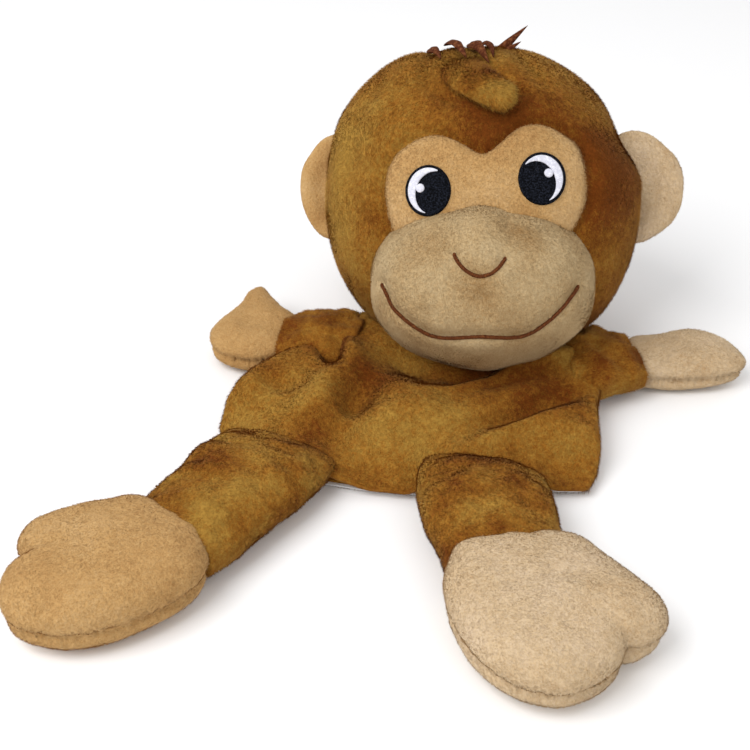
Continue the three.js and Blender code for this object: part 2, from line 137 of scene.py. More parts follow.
def pick(piece):
    clearSelection()
    piece.select_set(True)
    bpy.context.view_layer.objects.active = piece


def places(piece):
    spots = np.zeros(len(piece.data.vertices) * 3)
    piece.data.vertices.foreach_get("co", spots)
    return spots.reshape(-1, 3)


def putPlaces(piece, spots):
    piece.data.vertices.foreach_set("co", np.asarray(spots, float).ravel())
    piece.data.update()


def normalsOf(piece):
    out = np.zeros(len(piece.data.vertices) * 3)
    piece.data.vertices.foreach_get("normal", out)
    return out.reshape(-1, 3)


def closeUp(piece):
    pick(piece)
    bpy.ops.object.mode_set(mode="EDIT")
    bpy.ops.mesh.select_all(action="SELECT")
    bpy.ops.mesh.remove_doubles(threshold=0.00002)
    bpy.ops.mesh.normals_make_consistent(inside=False)
    bpy.ops.object.mode_set(mode="OBJECT")
    bpy.ops.object.shade_smooth()


def ball(name, across, down):
    clearSelection()
    bpy.ops.mesh.primitive_uv_sphere_add(segments=across, ring_count=down, radius=1)
    piece = bpy.context.object
    piece.name = name
    return piece


# A grid whose two directions run 0..1, laid on a surface by where(u, v) in metres.
def sheetOf(name, across, along, where):
    clearSelection()
    bpy.ops.mesh.primitive_grid_add(x_subdivisions=across, y_subdivisions=along, size=2)
    piece = bpy.context.object
    piece.name = name
    flat = places(piece)
    putPlaces(piece, where((flat[:, 0] + 1) / 2, (flat[:, 1] + 1) / 2))
    closeUp(piece)
    return piece


# A smooth line of count points through the corners.
def smoothLoop(corners, count, closed=True):
    corners = np.array(corners, float)
    n = len(corners)
    out = []
    spans = n if closed else n - 1
    for k in range(count):
        t = k / count * spans if closed else k / (count - 1) * spans * 0.999999
        i = int(t)
        f = t - i
        near = [(i + j) % n if closed else min(max(i + j, 0), n - 1) for j in (-1, 0, 1, 2)]
        at = corners[near]
        out.append(0.5 * (2 * at[1] + (at[2] - at[0]) * f
                          + (2 * at[0] - 5 * at[1] + 4 * at[2] - at[3]) * f * f
                          + (3 * at[1] - at[0] - 3 * at[2] + at[3]) * f ** 3))
    return np.array(out)


# Soft noise at each point, with waves about as long as size.
def ripple(spots, size, seed=0.0):
    shift = Vector((seed, seed * 1.7, seed * 0.6))
    return np.array([noise.noise(Vector(p) / size + shift) for p in spots])


# Where a row of points, set at steps from 0 to 1, has come to at each v.
def along(v, steps, points):
    return np.stack([np.interp(v, steps, points[:, k]) for k in range(3)], 1)


def apply(piece, kind, **settings):
    pick(piece)
    change = piece.modifiers.new(kind.lower(), kind)
    for key, value in settings.items():
        setattr(change, key, value)
    bpy.ops.object.modifier_apply(modifier=change.name)


def treeOf(piece):
    corners = [v.co for v in piece.data.vertices]
    return BVHTree.FromPolygons(corners, [p.vertices for p in piece.data.polygons])


# Sinks a seam or a fold along a line of points in metres. The pucker varies its depth.
def carve(piece, line, depth, width, pucker=0.0, seed=1.0):
    tree = KDTree(len(line))
    for i, p in enumerate(line):
        tree.insert(p, i)
    tree.balance()
    spots = places(piece)
    facing = normalsOf(piece)
    for i, p in enumerate(spots):
        where, index, far = tree.find(p)
        if far > 3 * width:
            continue
        wave = 1 + pucker * noise.noise(Vector((index * 0.35 + seed, far * 90, seed)))
        spots[i] -= facing[i] * depth * wave * math.exp(-(far / width) ** 2)
    putPlaces(piece, spots)


# The head's own frame, taken from its joints.
headUp = np.array(joints["neck_turn"]["axis"])
headRight = jointAt("ear_right_flop") - jointAt("ear_left_flop")
headRight /= np.linalg.norm(headRight)
headBack = np.cross(headUp, headRight)
earInHead = {"back": 4 * mm, "up": 5 * mm}
headCentre = (jointAt("ear_right_flop") + jointAt("ear_left_flop")) / 2
headCentre -= headBack * earInHead["back"] + headUp * earInHead["up"]


# From millimetres in the head's frame (right, back, up) to metres in the row.
def fromHead(spots):
    spots = np.atleast_2d(np.array(spots, float)) * mm
    return headCentre + spots @ np.array([headRight, headBack, headUp])


# The point in front of the head's x and z, in millimetres, raised off the surface by lift.
def onSurface(tree, x, z, lift=0.0):
    start = fromHead((x, -200, z))[0]
    hit, facing, index, far = tree.ray_cast(Vector(start), Vector(headBack))
    if hit is None:
        hit, facing, index, far = tree.find_nearest(Vector(fromHead((x, -50, z))[0]))
    return np.array(hit + facing * lift * mm)


def lineOn(tree, line, count, closed=True):
    return np.array([onSurface(tree, x, z) for x, z in smoothLoop(line, count, closed)])


# Colours of the plush from its shaded to its lit tone, which the painted shade and light and the random
# mottle pick from, and how much each grain shifts them.
plushes = {
    "brown": {
        "dark": (0.145, 0.036, 0.003), "middle": (0.28, 0.113, 0.013), "light": (0.37, 0.205, 0.036),
        "mottle": (0.24, 0.32, 0.30),
    },
    "tan": {
        "dark": (0.35, 0.18, 0.060), "middle": (0.48, 0.285, 0.110), "light": (0.55, 0.36, 0.170),
        "mottle": (0.10, 0.22, 0.30),
    },
    "cream": {
        "dark": (0.30, 0.175, 0.068), "middle": (0.43, 0.295, 0.145), "light": (0.50, 0.375, 0.21),
        "mottle": (0.10, 0.22, 0.30),
    },
    "paleTan": {
        "dark": (0.43, 0.26, 0.12), "middle": (0.56, 0.41, 0.245), "light": (0.62, 0.48, 0.33),
        "mottle": (0.10, 0.22, 0.30),
    },
}


plushLook = {
    "rough": 0.95, "specular": 0.12, "sheen": 0.22, "sheenRough": 0.45,
    "dark": 0.12, "middle": 0.5, "light": 0.88,  # where each colour lies on the ramp
    "grains": ((95, 3), (420, 3), (1500, 2)),  # scale and detail
    "pile": (900, 4), "bump": 0.55, "bumpDeep": 0.0012,
}


def newPaint(name, rough, specular):
    paint = bpy.data.materials.new(name)
    paint.use_nodes = True
    shader = paint.node_tree.nodes["Principled BSDF"]
    shader.inputs["Roughness"].default_value = rough
    shader.inputs["Specular IOR Level"].default_value = specular
    return paint, paint.node_tree.nodes, paint.node_tree.links, shader


def grainOf(nodes, links, spot, scale, detail):
    grain = nodes.new("ShaderNodeTexNoise")
    grain.inputs["Scale"].default_value = scale
    grain.inputs["Detail"].default_value = detail
    links.new(spot.outputs["Object"], grain.inputs["Vector"])
    return grain


def rampOf(nodes, first, last):
    ramp = nodes.new("ShaderNodeValToRGB")
    for stop, (position, colour) in zip(ramp.color_ramp.elements, (first, last)):
        stop.position = position
        stop.color = (*colour, 1)
    return ramp


def bumpFrom(nodes, links, grain, shader, strength, deep):
    bump = nodes.new("ShaderNodeBump")
    bump.inputs["Strength"].default_value = strength
    bump.inputs["Distance"].default_value = deep
    links.new(grain.outputs["Fac"], bump.inputs["Height"])
    links.new(bump.outputs["Normal"], shader.inputs["Normal"])


def plush(name, tones):
    paint, nodes, links, shader = newPaint(name, plushLook["rough"], plushLook["specular"])
    shader.inputs["Sheen Weight"].default_value = plushLook["sheen"]
    shader.inputs["Sheen Roughness"].default_value = plushLook["sheenRough"]
    shader.inputs["Sheen Tint"].default_value = (*[min(1, c * 1.6 + 0.1) for c in tones["light"]], 1)
    spot = nodes.new("ShaderNodeTexCoord")
    # The tone attribute holds random mottle together with painted shade and light; the ramp below turns it
    # into colour.
    nap = nodes.new("ShaderNodeAttribute")
    nap.attribute_name = "nap"
    mixed = nap.outputs["Fac"]
    for (scale, detail), amount in zip(plushLook["grains"], tones["mottle"]):
        grain = grainOf(nodes, links, spot, scale, detail)
        shift = nodes.new("ShaderNodeMath")
        shift.operation = "MULTIPLY_ADD"
        shift.inputs[1].default_value = amount * 2
        shift.inputs[2].default_value = -amount
        links.new(grain.outputs["Fac"], shift.inputs[0])
        add = nodes.new("ShaderNodeMath")
        add.operation = "ADD"
        links.new(mixed, add.inputs[0])
        links.new(shift.outputs[0], add.inputs[1])
        mixed = add.outputs[0]
    ramp = rampOf(nodes, (plushLook["dark"], tones["dark"]), (plushLook["light"], tones["light"]))
    ramp.color_ramp.elements.new(plushLook["middle"]).color = (*tones["middle"], 1)
    links.new(mixed, ramp.inputs["Fac"])
    links.new(ramp.outputs["Color"], shader.inputs["Base Color"])
    bumpFrom(nodes, links, grainOf(nodes, links, spot, *plushLook["pile"]), shader,
             plushLook["bump"], plushLook["bumpDeep"])
    return paint


threads = {
    "blackThread": {
        "colour": (0.001, 0.0012, 0.002), "rough": 0.8, "grain": 1500, "spark": (0.016, 0.019, 0.030),
    },
    "whiteThread": {"colour": (0.60, 0.60, 0.68), "rough": 0.45, "grain": 900, "spark": (0.80, 0.80, 0.86)},
    "brownThread": {
        "colour": (0.085, 0.024, 0.008), "rough": 0.7, "grain": 1400, "spark": (0.18, 0.060, 0.018),
    },
    "feltBrown": {
        "colour": (0.075, 0.020, 0.008), "rough": 0.95, "grain": 700, "spark": (0.21, 0.075, 0.028),
    },
    "liningCloth": {"colour": (0.74, 0.74, 0.75), "rough": 0.85, "grain": 2200, "spark": (0.84, 0.84, 0.84)},
}
threadLook = {"specular": 0.06, "detail": 3, "dark": 0.45, "light": 0.72, "bump": 0.6, "bumpDeep": 0.0004}


def threadLike(name, values):
    paint, nodes, links, shader = newPaint(name, values["rough"], threadLook["specular"])
    spot = nodes.new("ShaderNodeTexCoord")
    grain = grainOf(nodes, links, spot, values["grain"], threadLook["detail"])
    ramp = rampOf(nodes, (threadLook["dark"], values["colour"]), (threadLook["light"], values["spark"]))
    links.new(grain.outputs["Fac"], ramp.inputs["Fac"])
    links.new(ramp.outputs["Color"], shader.inputs["Base Color"])
    bumpFrom(nodes, links, grain, shader, threadLook["bump"], threadLook["bumpDeep"])
    return paint


finishes = {name: plush(name + "Plush", tones) for name, tones in plushes.items()}
finishes.update({name: threadLike(name, values) for name, values in threads.items()})


# Paints the plush tone, from 0 dark to 1 light: a base, soft random patches, and chosen
# spots of painted shade and light as x, y, z, reach and amount, in millimetres.
def paintToneAndShade(piece, base, patch, size, spots=(), seed=0.0):
    at = places(piece)
    tone = base + patch * 2 * ripple(at, size, seed) + 0.5 * patch * ripple(at, size * 0.35, seed + 5)
    for x, y, z, reach, amount in spots:
        far = np.linalg.norm(at - np.array((x, y, z)) * mm, axis=1) / (reach * mm)
        tone += amount * np.exp(-far ** 2)
    layer = piece.data.attributes.new("nap", "FLOAT", "POINT")
    layer.data.foreach_set("value", np.clip(tone, 0, 1).astype(np.float32))


# The same, with the spots given in the head's frame.
def paintToneAndShadeOnHead(piece, base, patch, size, spots, seed):
    paintToneAndShade(piece, base, patch, size, [(*(fromHead(spot[:3])[0] / mm), *spot[3:]) for spot in spots], seed)


def dress(piece, finish, slotName):
    piece.data.materials.clear()
    piece.data.materials.append(finishes[finish])
    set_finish(piece, slotName)


pileOf = {
    "width": 0.32, "sink": 0.15, "floor": 0.25, "lengths": (0.65, 1.15),  # lengths are shares
    "lean": 1.18, "leans": (0.78, 1.12), "wander": 0.34, "swirl": 0.6, "swirlSize": 0.014,
    # Painted shade darkens each fibre's root and painted light lightens its tip.
    "rootShade": -0.13, "tipHighlight": 0.13, "noise": 0.10,
}


# Short leaning fibres rooted in the cloth, one thin triangle each.
def growPile(piece, perSquareCm, length, downwards, seed):
    data = piece.data
    data.calc_loop_triangles()
    corner = np.zeros(len(data.loop_triangles) * 3, np.int32)
    data.loop_triangles.foreach_get("vertices", corner)
    corner = corner.reshape(-1, 3)
    spots, facing = places(piece), normalsOf(piece)
    tone = np.full(len(spots), 0.5, np.float32)
    layer = data.attributes.get("nap")
    layer.data.foreach_get("value", tone)
    a, b, c = (spots[corner[:, k]] for k in range(3))
    size = np.linalg.norm(np.cross(b - a, c - a), axis=1) / 2
    count = int(size.sum() * 10000 * perSquareCm)
    chance = np.random.default_rng(seed)
    at = chance.choice(len(size), count, p=size / size.sum())
    u, v = chance.random((2, count, 1))
    u, v = np.where(u + v > 1, 1 - u, u), np.where(u + v > 1, 1 - v, v)
    w = 1 - u - v
    first, second, third = (corner[at, k] for k in range(3))
    mix = lambda values: w * values[first] + u * values[second] + v * values[third]
    root, out = mix(spots), mix(facing)
    out /= np.linalg.norm(out, axis=1, keepdims=True) + 1e-9
    shade = mix(tone.reshape(-1, 1)).ravel()
    flow = np.tile(np.array(downwards, float), (count, 1)) + chance.normal(0, pileOf["wander"], (count, 3))
    swirl = [ripple(root, pileOf["swirlSize"], seed + k) for k in range(3)]
    flow += 2 * pileOf["swirl"] * np.stack(swirl, 1)
    flow -= out * (flow * out).sum(1, keepdims=True)
    flow /= np.linalg.norm(flow, axis=1, keepdims=True) + 1e-9
    side = np.cross(out, flow)
    tall = length * mm * chance.uniform(*pileOf["lengths"], (count, 1))
    lean = pileOf["lean"] * chance.uniform(*pileOf["leans"], (count, 1))
    tip = root + (out * np.cos(lean) + flow * np.sin(lean)) * tall
    half = side * pileOf["width"] * mm / 2
    low = root - out * pileOf["sink"] * mm
    fibres = np.stack([low + half, low - half, tip], 1).reshape(-1, 3)
    fibres[:, 2] = np.maximum(fibres[:, 2], pileOf["floor"] * mm * np.tile([1, 1, 1.6], count))
    mesh = bpy.data.meshes.new(piece.name + "Pile")
    mesh.from_pydata(fibres.tolist(), [], np.arange(len(fibres)).reshape(-1, 3).tolist())
    layer = mesh.attributes.new("nap", "FLOAT", "POINT")
    # Painted shade at each fibre's root and painted light at its tip.
    lift = np.array([pileOf["rootShade"], pileOf["rootShade"], pileOf["tipHighlight"]])
    tones = shade[:, None] + lift + chance.normal(0, pileOf["noise"], (count, 1))
    layer.data.foreach_set("value", tones.ravel().astype(np.float32))
    pileNormals = np.repeat(out, 3, axis=0)
    mesh.polygons.foreach_set("use_smooth", np.ones(count, bool))
    mesh.normals_split_custom_set_from_vertices(pileNormals.tolist())
    pile = bpy.data.objects.new(piece.name + "Pile", mesh)
    bpy.context.scene.collection.objects.link(pile)
    for material in data.materials:
        mesh.materials.append(material)
    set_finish(pile, piece["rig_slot"])
    return pile


# Half sizes are in millimetres in the head's frame. Square above 2 is boxier than
# round. The crown is flattened on its right, and the right side is drawn in a little.
head = {
    "half": (75.5, 60, 75), "square": 2.25, "lumps": 1.5, "lumpSize": 32.0, "floor": 0.5,
    "crown": 0.07, "right": 0.035, "rightCrown": 0.10,
    "maskSeam": (2.6, 3.0, 0.5), "crownSeam": (1.1, 2.0, 0.6),  # depth, width and pucker
    "nap": 0.50, "patch": 0.22, "patchSize": 0.045,
}
headFolds = [
    {"line": [(-24, 68), (-27, 58), (-24, 46), (-14, 38)], "deep": 2.4, "wide": 4.0},
    {"line": [(-6, 67), (0, 58), (6, 50), (16, 42)], "deep": 2.2, "wide": 3.2},
    {"line": [(12, 66), (20, 56), (24, 48)], "deep": 1.2, "wide": 4.5},
    {"line": [(-50, 46), (-58, 30), (-60, 12)], "deep": 1.0, "wide": 6.0},
]
# Painted shade and light on the head, as x, y, z, reach and amount in the head's frame: lit on its left,
# shaded on its right, under the forelock and low on both cheeks.
headShadeAndLight = [
    (-60, -30, 20, 42, 0.30), (62, -30, 0, 34, -0.18), (6, -56, 36, 26, -0.40),
    (50, -40, 20, 16, -0.30), (-50, -45, -12, 13, -0.22), (50, -44, -15, 14, -0.30),
]
maskLine = [
    (-44.8, -0.7), (-43.4, 9.3), (-38.8, 16), (-32.8, 20.3), (-26.7, 22.8), (-20.5, 23.4), (-14, 21.6),
    (-7.5, 18), (-2.6, 14.9), (0.6, 14.2), (4.4, 15.9), (9, 19.9), (13.7, 24.3), (18.8, 27.1), (24.8, 28.1),
    (31.2, 26.8), (37.4, 23.4), (42.6, 19.5), (46, 12.4), (47.6, 2.4), (47, -7.6), (44.6, -14.3), (40.5, -22),
    (33, -34), (0, -40), (-30, -34), (-39, -25), (-42, -17), (-44, -9.4),
]


def superEllipsoid(directions, half, square):
    scaled = np.abs(directions / np.array(half, float)) ** square
    return directions * (scaled.sum(1) ** (-1 / square))[:, None]


def makeHead():
    piece = ball("headPlush", 220, 140)
    local = superEllipsoid(places(piece), head["half"], head["square"])
    high = np.clip((local[:, 2] - 5) / 25, 0, 1)
    high = high * high * (3 - 2 * high)
    local[:, 0] *= 1 - (local[:, 0] > 0) * (head["right"] + head["rightCrown"] * high)
    local[:, 2] *= 1 - (local[:, 2] > 0) * head["crown"] * (1 + np.tanh((local[:, 0] + 30) / 14)) / 2
    outward = local / np.linalg.norm(local, axis=1)[:, None]
    local += outward * head["lumps"] * ripple(local, head["lumpSize"], 3)[:, None]
    spots = fromHead(local)
    spots[:, 2] = np.maximum(spots[:, 2], head["floor"] * mm)
    putPlaces(piece, spots)
    closeUp(piece)
    tree = treeOf(piece)
    deep, wide, pucker = head["maskSeam"]
    carve(piece, lineOn(tree, maskLine, 260), deep * mm, wide * mm, pucker)
    for fold in headFolds:
        carve(piece, lineOn(tree, fold["line"], 60, False), fold["deep"] * mm, fold["wide"] * mm)
    deep, wide, pucker = head["crownSeam"]
    turns = np.linspace(-2.6, 2.6, 260)
    crossing = [(head["half"][0] * math.sin(a), 8, head["half"][2] * math.cos(a)) for a in turns]
    ring = [np.array(tree.find_nearest(Vector(fromHead(p)[0]))[0]) for p in crossing]
    carve(piece, ring, deep * mm, wide * mm, pucker, 4.0)
    paintToneAndShadeOnHead(piece, head["nap"], head["patch"], head["patchSize"], headShadeAndLight, 2.0)
    dress(piece, "brown", "brown_plush")
    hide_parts("head_back", "head_crown", "head_stuffing")
    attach(piece, "head")
    return piece


walls = {}  # thickness of each skin in millimetres, given to it after its pile


mask = {"centre": (1, -3), "lift": 2.2, "sink": 1.6, "wall": 1.2, "rings": 34, "around": 200}
# Painted shade between the eyes and painted light on the cheeks under them: x, y, z, reach, amount.
maskShadeAndLight = [(3, -60, 6, 16, -0.18), (-36, -50, -12, 12, 0.20), (38, -48, -12, 12, 0.15)]


# A sewn-in panel, laid on the head and rounded down into its seam.
def makeMask(tree):
    rim = smoothLoop(maskLine, mask["around"])
    rim = np.vstack([rim, rim[:1]])
    centre = np.array(mask["centre"])
    turns = np.linspace(0, 1, len(rim))

    def where(u, v):
        edge = np.stack([np.interp(u, turns, rim[:, k]) for k in (0, 1)], 1)
        flat = centre + (edge - centre) * v[:, None]
        high = mask["lift"] * (1 - v ** 9) - mask["sink"] * v ** 12
        return np.array([onSurface(tree, x, z, h) for (x, z), h in zip(flat, high)])

    piece = sheetOf("faceMask", mask["around"], mask["rings"], where)
    walls["faceMask"] = mask["wall"]
    paintToneAndShadeOnHead(piece, 0.52, 0.20, 0.02, maskShadeAndLight, 7.0)
    dress(piece, "tan", "tan_plush")
    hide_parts("face_mask")
    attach(piece, "head")
    return piece


muzzle = {
    "half": (50, 48, 36), "at": (0, -32, -42), "square": 2.35, "lumps": 0.9, "lumpSize": 17.0,
    "chin": 2.5, "chinHalf": 16, "lips": (1.7, 3.4, 0.5), "underNose": (1.0, 2.4, 0.4),
    "nap": 0.56, "patch": 0.16, "patchSize": 0.018,
}
# The nose, its bridge, the crease beside it and the dip under it: x, z, the reach
# along each, and how far it stands out.
muzzleBumps = [(0.5, -27, 12, 13, 3.6), (0, -14, 9, 9, 1.8), (12, -19, 4, 9, -1.3), (0, -51, 7, 8, -1.2)]
# Painted shade under the nose, beside it and under the mouth: x, y, z, reach, amount.
muzzleShade = [(1, -80, -50, 11, -0.34), (14, -76, -20, 10, -0.22), (0, -50, -78, 16, -0.30)]
mouthLine = [
    (-43.1, -42.4), (-40.3, -47.5), (-37.3, -53.2), (-31.1, -58.9), (-25.4, -62.7), (-19.7, -65.2),
    (-11.8, -65.9), (-0.5, -65.3), (13, -65.6), (20.3, -64.2), (27.2, -60), (34.1, -53.7), (39.6, -46.6),
    (41.7, -43.1),
]
noseLine = [
    (-10.7, -30.3), (-9.4, -33.5), (-6.6, -36.9), (-3.1, -39.3), (0.3, -40.2), (4.4, -39.3), (7.7, -36.9),
    (9.7, -34.2), (10.9, -32.1),
]


def makeMuzzle():
    piece = ball("muzzlePlush", 200, 120)
    local = superEllipsoid(places(piece), muzzle["half"], muzzle["square"])
    chin = np.exp(-(local[:, 0] / muzzle["chinHalf"]) ** 2) * (local[:, 2] < -8)
    local[:, 2] -= muzzle["chin"] * chin
    local += np.array(muzzle["at"])
    facing = local - np.array(muzzle["at"])
    facing /= np.linalg.norm(facing, axis=1)[:, None]
    raised = np.zeros(len(local))
    for x, z, wide, tall, amount in muzzleBumps:
        raised += amount * np.exp(-(((local[:, 0] - x) / wide) ** 2 + ((local[:, 2] - z) / tall) ** 2))
    local += facing * (raised * (local[:, 1] < -40))[:, None]
    local += facing * (muzzle["lumps"] * ripple(local, muzzle["lumpSize"], 9))[:, None]
    putPlaces(piece, fromHead(local))
    closeUp(piece)
    tree = treeOf(piece)
    deep, wide, pucker = muzzle["lips"]
    carve(piece, lineOn(tree, mouthLine, 240, False), deep * mm, wide * mm, pucker, 6.0)
    deep, wide, pucker = muzzle["underNose"]
    carve(piece, lineOn(tree, noseLine, 100, False), deep * mm, wide * mm, pucker, 2.0)
    paintToneAndShadeOnHead(piece, muzzle["nap"], muzzle["patch"], muzzle["patchSize"], muzzleShade, 11.0)
    dress(piece, "cream", "cream_plush")
    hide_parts("muzzle", "muzzle_stuffing")
    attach(piece, "head")
    return piece


stitch = {"high": 0.9, "perMm": 1.5, "bulge": 0.13, "mouth": 1.7, "nose": 1.6}  # widths in millimetres


# A rounded band of satin stitch along a line.
def satinBand(name, line, tree, width, node):
    high = stitch["high"]
    path = np.array([onSurface(tree, x, z, high * 0.15) for x, z in line])
    ahead = np.gradient(path, axis=0)
    ahead /= np.linalg.norm(ahead, axis=1)[:, None]
    outward = np.array([tree.find_nearest(Vector(p))[1] for p in path])
    across = np.cross(outward, ahead)
    across /= np.linalg.norm(across, axis=1)[:, None]
    length = np.concatenate([[0], np.cumsum(np.linalg.norm(np.diff(path, axis=0), axis=1))]) / mm
    steps = np.linspace(0, 1, len(path))

    def where(u, v):
        far = np.interp(v, steps, length)
        turn = u * 2 * np.pi
        ends = np.clip(np.minimum(far, length[-1] - far) / (width / 2), 0.02, 1) ** 0.5
        thread = 1 + stitch["bulge"] * np.sin(far * stitch["perMm"] * 2 * np.pi + 1.6 * np.cos(turn))
        wide = np.cos(turn) * width / 2 * ends * thread * mm
        tall = np.sin(turn) * high * ends * thread * mm
        side, up = along(v, steps, across), along(v, steps, outward)
        return along(v, steps, path) + side * wide[:, None] + up * tall[:, None]

    piece = sheetOf(name, 12, int(length[-1] * 7), where)
    dress(piece, "brownThread", "brown_thread")
    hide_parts(node)
    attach(piece, "head")
    return piece


eyes = {
    "left": {
        "at": (-22.9, -2.6), "half": (10.3, 11.4), "pupil": (1.9, -1.1), "shine": (-3.4, 1.1),
        "from": 62, "to": 262,
    },
    "right": {
        "at": (25.8, 2.3), "half": (10.5, 11.7), "pupil": (-1.7, -1.5), "shine": (2.8, 2.4),
        "from": -68, "to": 143,
    },
}
# Thicknesses in millimetres, and how much of the eye the white and the pupil reach.
eyeStitch = {
    "high": 0.75, "rim": 0.45, "black": 0.6, "whiteWall": 0.3,
    "white": 0.86, "pupil": 0.70, "shine": 1.95,
}


def makeEye(side, tree):
    values = eyes[side]
    cx, cz = values["at"]
    ax, az = values["half"]

    def disc(u, v):
        turn = u * 2 * np.pi
        rim = np.exp(-((v - 0.9) / 0.07) ** 2)
        high = eyeStitch["high"] + eyeStitch["rim"] * rim + 0.10 * np.sin(turn * 90) * rim
        high = high - 1.8 * np.clip(v - 0.94, 0, 1) / 0.06
        x, z = cx + ax * v * np.cos(turn), cz + az * v * np.sin(turn)
        return np.array([onSurface(tree, *p) for p in zip(x, z, high)])

    piece = sheetOf("eye" + side.capitalize(), 240, 30, disc)
    apply(piece, "SOLIDIFY", thickness=eyeStitch["black"] * mm, offset=-1)
    dress(piece, "blackThread", "black_thread")
    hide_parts("eye_" + side)
    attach(piece, "head")
    eyeTree = treeOf(piece)
    first, last = math.radians(values["from"]), math.radians(values["to"])
    px, pz = values["pupil"]

    def crescent(u, v):
        turn = first + (last - first) * u
        big, small = eyeStitch["white"], eyeStitch["pupil"]
        outer = np.stack([ax * big * np.cos(turn), az * big * np.sin(turn)], 1)
        inner = np.stack([px + ax * small * np.cos(turn), pz + az * small * np.sin(turn)], 1)
        taper = np.sin(np.pi * u) ** 0.45
        middle = outer - (outer - inner) * 0.5 * taper[:, None]
        flat = middle + (outer - inner) * (0.5 * taper * (2 * v - 1))[:, None]
        high = 0.15 + 0.5 * np.sqrt(np.clip(1 - (2 * v - 1) ** 2, 0, 1)) * taper
        high += 0.09 * np.sin(turn * 70) * taper
        return np.array([onSurface(eyeTree, cx + x, cz + z, h) for (x, z), h in zip(flat, high)])

    white = sheetOf("eyeWhite" + side.capitalize(), 220, 12, crescent)
    sx, sz = values["shine"]

    def shine(u, v):
        turn = u * 2 * np.pi
        high = 0.15 + 0.75 * np.sqrt(np.clip(1 - v ** 2, 0, 1))
        x = cx + sx + eyeStitch["shine"] * v * np.cos(turn)
        z = cz + sz + eyeStitch["shine"] * v * np.sin(turn)
        return np.array([onSurface(eyeTree, *p) for p in zip(x, z, high)])

    dot = sheetOf("eyeShine" + side.capitalize(), 40, 8, shine)
    for extra in (white, dot):
        apply(extra, "SOLIDIFY", thickness=eyeStitch["whiteWall"] * mm, offset=-1)
        dress(extra, "whiteThread", "white_thread")
        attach(extra, "head")


ears = {
    "left": {"sign": -1, "at": (-73, 2, 6), "reach": 17, "tall": 25, "colour": "tan"},
    "right": {"sign": 1, "at": (72, 2, 5), "reach": 21, "tall": 26, "colour": "paleTan"},
}
earPad = {"thick": 6.4, "cup": 5.0, "curl": 2.0, "rimBack": 1.5, "lean": 0.10, "lumps": 0.8, "lumpSize": 12.0}


def makeEar(side):
    values = ears[side]
    piece = ball("ear" + side.capitalize(), 110, 70)
    d = places(piece)
    x, y, z = d[:, 0], d[:, 1], d[:, 2]
    far = np.sqrt(x ** 2 + z ** 2)
    local = np.stack([x * values["reach"], y * earPad["thick"], z * values["tall"]], 1)
    cup = np.exp(-((far - 0.25) / 0.42) ** 2) * (y < 0)
    local[:, 1] += earPad["cup"] * cup
    local[:, 1] += earPad["curl"] * (far ** 2) * values["sign"] * x - earPad["rimBack"] * far ** 4
    local[:, 2] *= 1 - earPad["lean"] * values["sign"] * x
    lumps = np.stack([ripple(local, earPad["lumpSize"], 3 + k) for k in range(3)], 1)
    local += np.array(values["at"]) + earPad["lumps"] * lumps
    putPlaces(piece, fromHead(local))
    closeUp(piece)
    paintToneAndShade(piece, 0.55, 0.15, 0.02, seed=21 + values["sign"])
    dress(piece, values["colour"], "tan_plush")
    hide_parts("ear_" + side)
    return piece


# The rolled lock, from its root to its tip: half widths, lifts off the head and half
# heights in millimetres, each with the shares of the length that it is given at.
forelock = {
    "spine": [(-13, 64), (-11, 56), (-6.5, 48), (0, 41.5), (7, 36), (12.5, 32.5)],
    "widths": ([0, 0.25, 0.6, 0.85, 1], [10.5, 10.5, 9, 7.2, 4.6]),
    "lifts": ([0, 0.2, 0.55, 0.85, 1], [-5.0, -2.4, 3.0, 7.0, 6.6]),
    "heights": ([0, 0.5, 1], [3.0, 3.6, 4.4]),
    # The tip entry is a spot of painted light on the lock's free end: x, y, z, reach, amount.
    "rings": 60, "nap": 0.42, "patch": 0.2, "patchSize": 0.012, "tip": (10, -60, 34, 9, 0.28),
}


def makeForelock(tree):
    steps = np.linspace(0, 1, forelock["rings"])
    widths, lifts = np.interp(steps, *forelock["widths"]), np.interp(steps, *forelock["lifts"])
    base = lineOn(tree, forelock["spine"], forelock["rings"], False)
    outward = np.array([tree.find_nearest(Vector(p))[1] for p in base])
    path = base + outward * lifts[:, None] * mm
    ahead = np.gradient(path, axis=0)
    ahead /= np.linalg.norm(ahead, axis=1)[:, None]
    across = np.cross(outward, ahead)

    def where(u, v):
        turn = u * 2 * np.pi
        ends = np.clip(np.minimum(v, 1 - v) / 0.08, 0.01, 1) ** 0.5
        wide = np.cos(turn) * np.interp(v, steps, widths) * ends * mm
        tall = np.sin(turn) * np.interp(v, *forelock["heights"]) * ends * mm
        side, up = along(v, steps, across), along(v, steps, outward)
        return along(v, steps, path) + side * wide[:, None] + up * tall[:, None]

    piece = sheetOf("forelockPlush", 48, 60, where)
    paintToneAndShadeOnHead(piece, forelock["nap"], forelock["patch"], forelock["patchSize"], [forelock["tip"]], 31.0)
    dress(piece, "brown", "brown_plush")
    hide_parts("forelock")
    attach(piece, "head")
    return piece


# Each strand that lies on the crown: points (x, z) from root to tip, how high it
# bows off the plush and how wide it is. The others stand: root and tip (x, y, z).
strands = [
    {"line": [(-24.5, 65.5), (-22, 63), (-19, 57.5)], "bow": 2.2, "wide": 6.4},
    {"line": [(-16.5, 67), (-12.5, 64), (-7.6, 57)], "bow": 2.8, "wide": 7.2},
    {"line": [(-6.5, 67), (-1.5, 63.5), (3, 55)], "bow": 3.0, "wide": 7.2},
    {"line": [(-0.5, 67), (2.5, 64.5), (4.6, 58)], "bow": 1.4, "wide": 4.6},
]
standing = [
    {"root": (3.5, -10, 64.5), "tip": (19.5, -10, 79), "wide": 5.0},
    {"root": (5.0, -15, 63), "tip": (16.5, -13, 71), "wide": 4.2},
]


